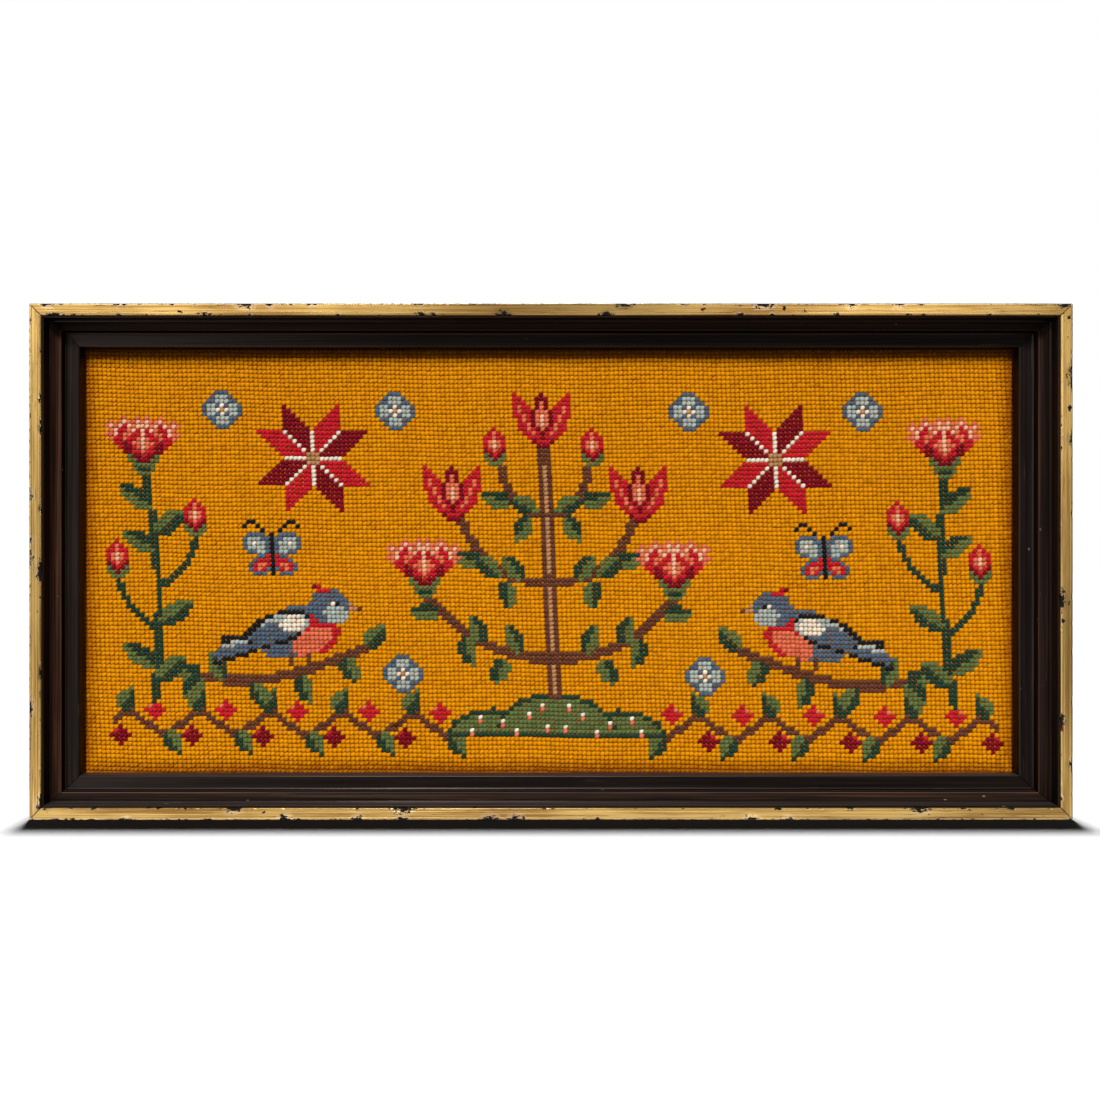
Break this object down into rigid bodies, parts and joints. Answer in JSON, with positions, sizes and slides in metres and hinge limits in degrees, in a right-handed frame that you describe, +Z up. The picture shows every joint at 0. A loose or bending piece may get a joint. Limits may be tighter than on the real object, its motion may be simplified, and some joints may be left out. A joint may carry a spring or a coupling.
{
  "type": "framed needlepoint picture in a stepped wooden frame",
  "caption": "Wide needlepoint picture worked in slanting wool stitches, held in a deep dark stepped wooden frame with a narrow gilt edge and a plain back board.",
  "frame": {"origin": "on the surface it stands on, under the middle of the bottom rail", "axes": "+X to the picture's right as seen from the front, +Y from the front to the back, +Z up; the stitched face looks towards -Y"},
  "size_m": [0.57, 0.03, 0.282],
  "materials": {
    "gilt_leaf": "gold leaf on wood, satin, chipped to black along its edges",
    "dark_wood": "dark brown stained wood, satin, worn brown on its arrises",
    "wool_canvas": "mustard wool tent stitch on canvas, matt",
    "brown_board": "plain brown fibre board, matt"
  },
  "bodies": {
    "root": {"gilt_bottom": "gilt_leaf", "gilt_left": "gilt_leaf", "gilt_top": "gilt_leaf", "gilt_right": "gilt_leaf", "rail_bottom": "dark_wood", "rail_left": "dark_wood", "rail_top": "dark_wood", "rail_right": "dark_wood", "needlepoint_panel": "wool_canvas", "backing_board": "brown_board"}
  },
  "joints": []
}
